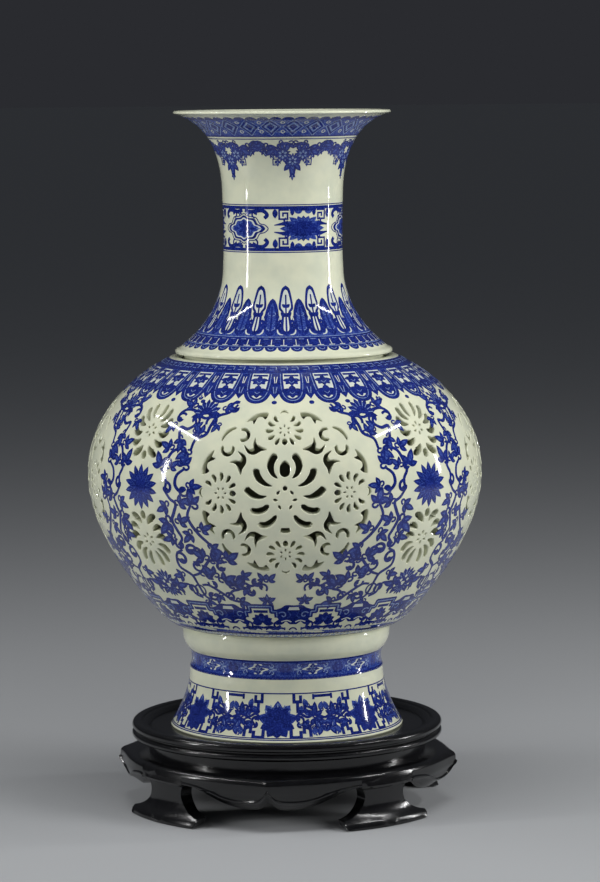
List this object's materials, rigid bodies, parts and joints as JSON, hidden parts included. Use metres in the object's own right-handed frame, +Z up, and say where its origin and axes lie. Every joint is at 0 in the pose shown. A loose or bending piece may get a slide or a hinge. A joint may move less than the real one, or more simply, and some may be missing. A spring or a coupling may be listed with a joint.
{
  "type": "vase",
  "caption": "Baluster vase with a pierced blue and white belly, trumpet neck, turning inner vase and banded foot, on a round dark wood stand with bracket aprons and scrolled feet.",
  "frame": {"origin": "middle of the stand's footprint, on the surface it stands on", "axes": "+Z up along the vase's axis; -Y is the front, -X the viewer's left"},
  "size_m": [0.256, 0.256, 0.4515],
  "materials": {
    "painted_neck": "gloss glaze over cobalt painting on ivory porcelain",
    "painted_body": "gloss glaze over dense cobalt painting on ivory porcelain",
    "painted_foot": "gloss glaze over cobalt painting on ivory porcelain",
    "plain_glaze": "gloss plain greenish ivory glaze",
    "ebonised_wood": "gloss black lacquered hardwood",
    "dowel_wood": "plain turned hardwood"
  },
  "bodies": {
    "stand": {"stand_panel": "ebonised_wood", "stand_ring_1": "ebonised_wood", "stand_ring_2": "ebonised_wood", "stand_ring_3": "ebonised_wood", "stand_ring_4": "ebonised_wood", "stand_ring_dowels": "dowel_wood", "stand_waist": "ebonised_wood", "stand_leg_1": "ebonised_wood", "stand_leg_2": "ebonised_wood", "stand_leg_3": "ebonised_wood", "stand_leg_4": "ebonised_wood", "stand_apron_1": "ebonised_wood", "stand_apron_2": "ebonised_wood", "stand_apron_3": "ebonised_wood", "stand_apron_4": "ebonised_wood", "stand_apron_dowels": "dowel_wood"},
    "vase": {"outer_body": "painted_body", "foot_base": "painted_foot"},
    "liner": {"inner_vase": "plain_glaze"},
    "neck": {"neck_section": "painted_neck"}
  },
  "joints": [
    {"name": "vase_lift", "type": "slide", "parent": "stand", "child": "vase", "axis": [0, 0, 1], "range_m": [0, 0.05]},
    {"name": "inner_turn", "type": "hinge", "parent": "vase", "child": "liner", "pos_m": [0, 0, 0.0755], "axis": [0, 0, 1], "continuous": true},
    {"name": "neck_lift", "type": "slide", "parent": "liner", "child": "neck", "axis": [0, 0, 1], "range_m": [0, 0.05]}
  ]
}
